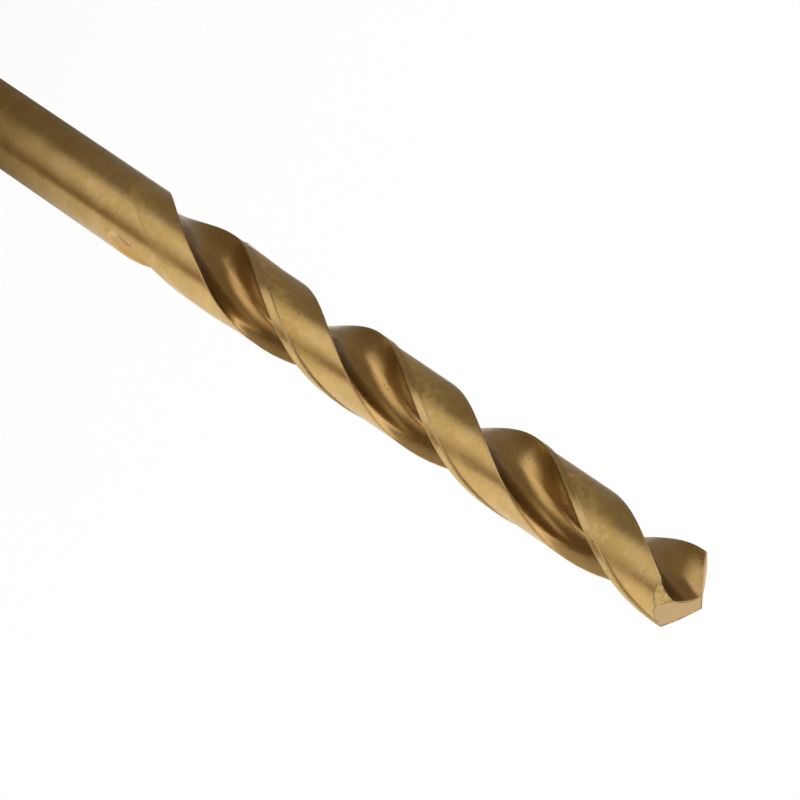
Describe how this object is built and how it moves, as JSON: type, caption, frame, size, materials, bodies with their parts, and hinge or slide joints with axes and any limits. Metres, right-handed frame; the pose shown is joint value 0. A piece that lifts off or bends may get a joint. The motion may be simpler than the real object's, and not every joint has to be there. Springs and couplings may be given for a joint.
{
  "type": "twist drill bit",
  "caption": "Jobber twist drill bit with right-hand helical flutes, cleared lands, a relieved 118 degree point and a plain cylindrical shank.",
  "frame": {"origin": "centre of the flat shank end, on the drill's axis", "axes": "+Z along the axis from the shank end to the point; at the point the lips are parallel to X"},
  "size_m": [0.008, 0.008, 0.117],
  "materials": {
    "coated_steel": "satin gold nitride coating on ground high-speed steel"
  },
  "bodies": {
    "root": {"drill_bit": "coated_steel"}
  },
  "joints": []
}
